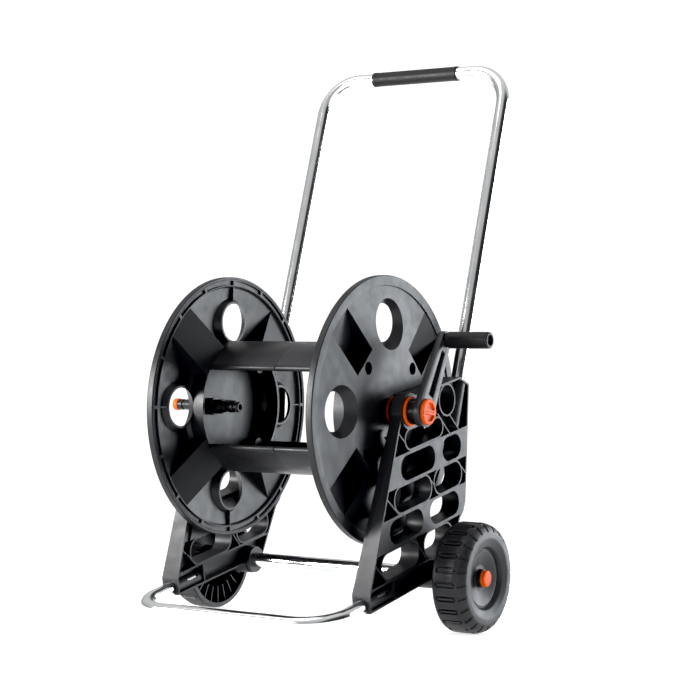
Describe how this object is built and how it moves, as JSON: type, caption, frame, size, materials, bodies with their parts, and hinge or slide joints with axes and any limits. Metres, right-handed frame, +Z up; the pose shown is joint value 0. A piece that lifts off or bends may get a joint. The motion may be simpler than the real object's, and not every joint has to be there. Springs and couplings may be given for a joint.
{
  "type": "garden hose reel cart",
  "caption": "Wheeled garden hose reel cart: bent tube handle and foot loop in latticed side panels that carry a hollow flanged hose drum with a crank.",
  "frame": {"origin": "on the floor under the middle of the overall box", "axes": "+X along the drum axle towards the crank, +Y towards the handle at the back, +Z up"},
  "size_m": [0.5584, 0.481, 0.9025],
  "materials": {
    "panel_plastic": "satin textured",
    "drum_plastic": "satin",
    "tube_steel": "bright zinc",
    "orange_plastic": "satin",
    "tyre_plastic": "matte",
    "trim_plastic": "satin",
    "grip_plastic": "fine textured",
    "pin_steel": "bright"
  },
  "bodies": {
    "frame": {"handle_tube": "tube_steel", "handle_grip": "grip_plastic", "front_loop_tube": "tube_steel", "side_panel_left": "panel_plastic", "side_panel_right": "panel_plastic", "axle_rod": "tube_steel", "axle_spacer_left": "trim_plastic", "axle_spacer_right": "trim_plastic", "hub_bush_left": "orange_plastic", "hub_bush_right": "orange_plastic", "hub_washer_left": "trim_plastic", "hub_washer_right": "trim_plastic"},
    "drum": {"drum_half_left": "drum_plastic", "drum_half_right": "drum_plastic", "outlet_elbow": "trim_plastic", "outlet_connector": "trim_plastic", "crank_arm": "trim_plastic", "crank_pin": "pin_steel", "crank_knob": "orange_plastic"},
    "crank_handle": {"crank_grip": "grip_plastic"},
    "wheel_left": {"wheel_tyre_left": "tyre_plastic", "wheel_hub_left": "trim_plastic", "wheel_cap_left": "orange_plastic"},
    "wheel_right": {"wheel_tyre_right": "tyre_plastic", "wheel_hub_right": "trim_plastic", "wheel_cap_right": "orange_plastic"},
    "inlet": {"inlet_connector": "trim_plastic", "inlet_ring": "orange_plastic"}
  },
  "joints": [
    {"name": "drum_spin", "type": "hinge", "parent": "frame", "child": "drum", "pos_m": [-0.00725, -0.04047, 0.3206], "axis": [1, 0, 0], "continuous": true},
    {"name": "crank_grip_spin", "type": "hinge", "parent": "drum", "child": "crank_handle", "pos_m": [0.20625, 0.00711, 0.43055], "axis": [1, 0, 0], "continuous": true},
    {"name": "wheel_left_spin", "type": "hinge", "parent": "frame", "child": "wheel_left", "pos_m": [-0.25225, 0.07074, 0.0823], "axis": [1, 0, 0], "continuous": true},
    {"name": "wheel_right_spin", "type": "hinge", "parent": "frame", "child": "wheel_right", "pos_m": [0.23775, 0.07074, 0.0823], "axis": [1, 0, 0], "continuous": true},
    {"name": "inlet_swivel", "type": "hinge", "parent": "frame", "child": "inlet", "pos_m": [-0.20725, -0.04047, 0.3206], "axis": [1, 0, 0], "continuous": true}
  ]
}
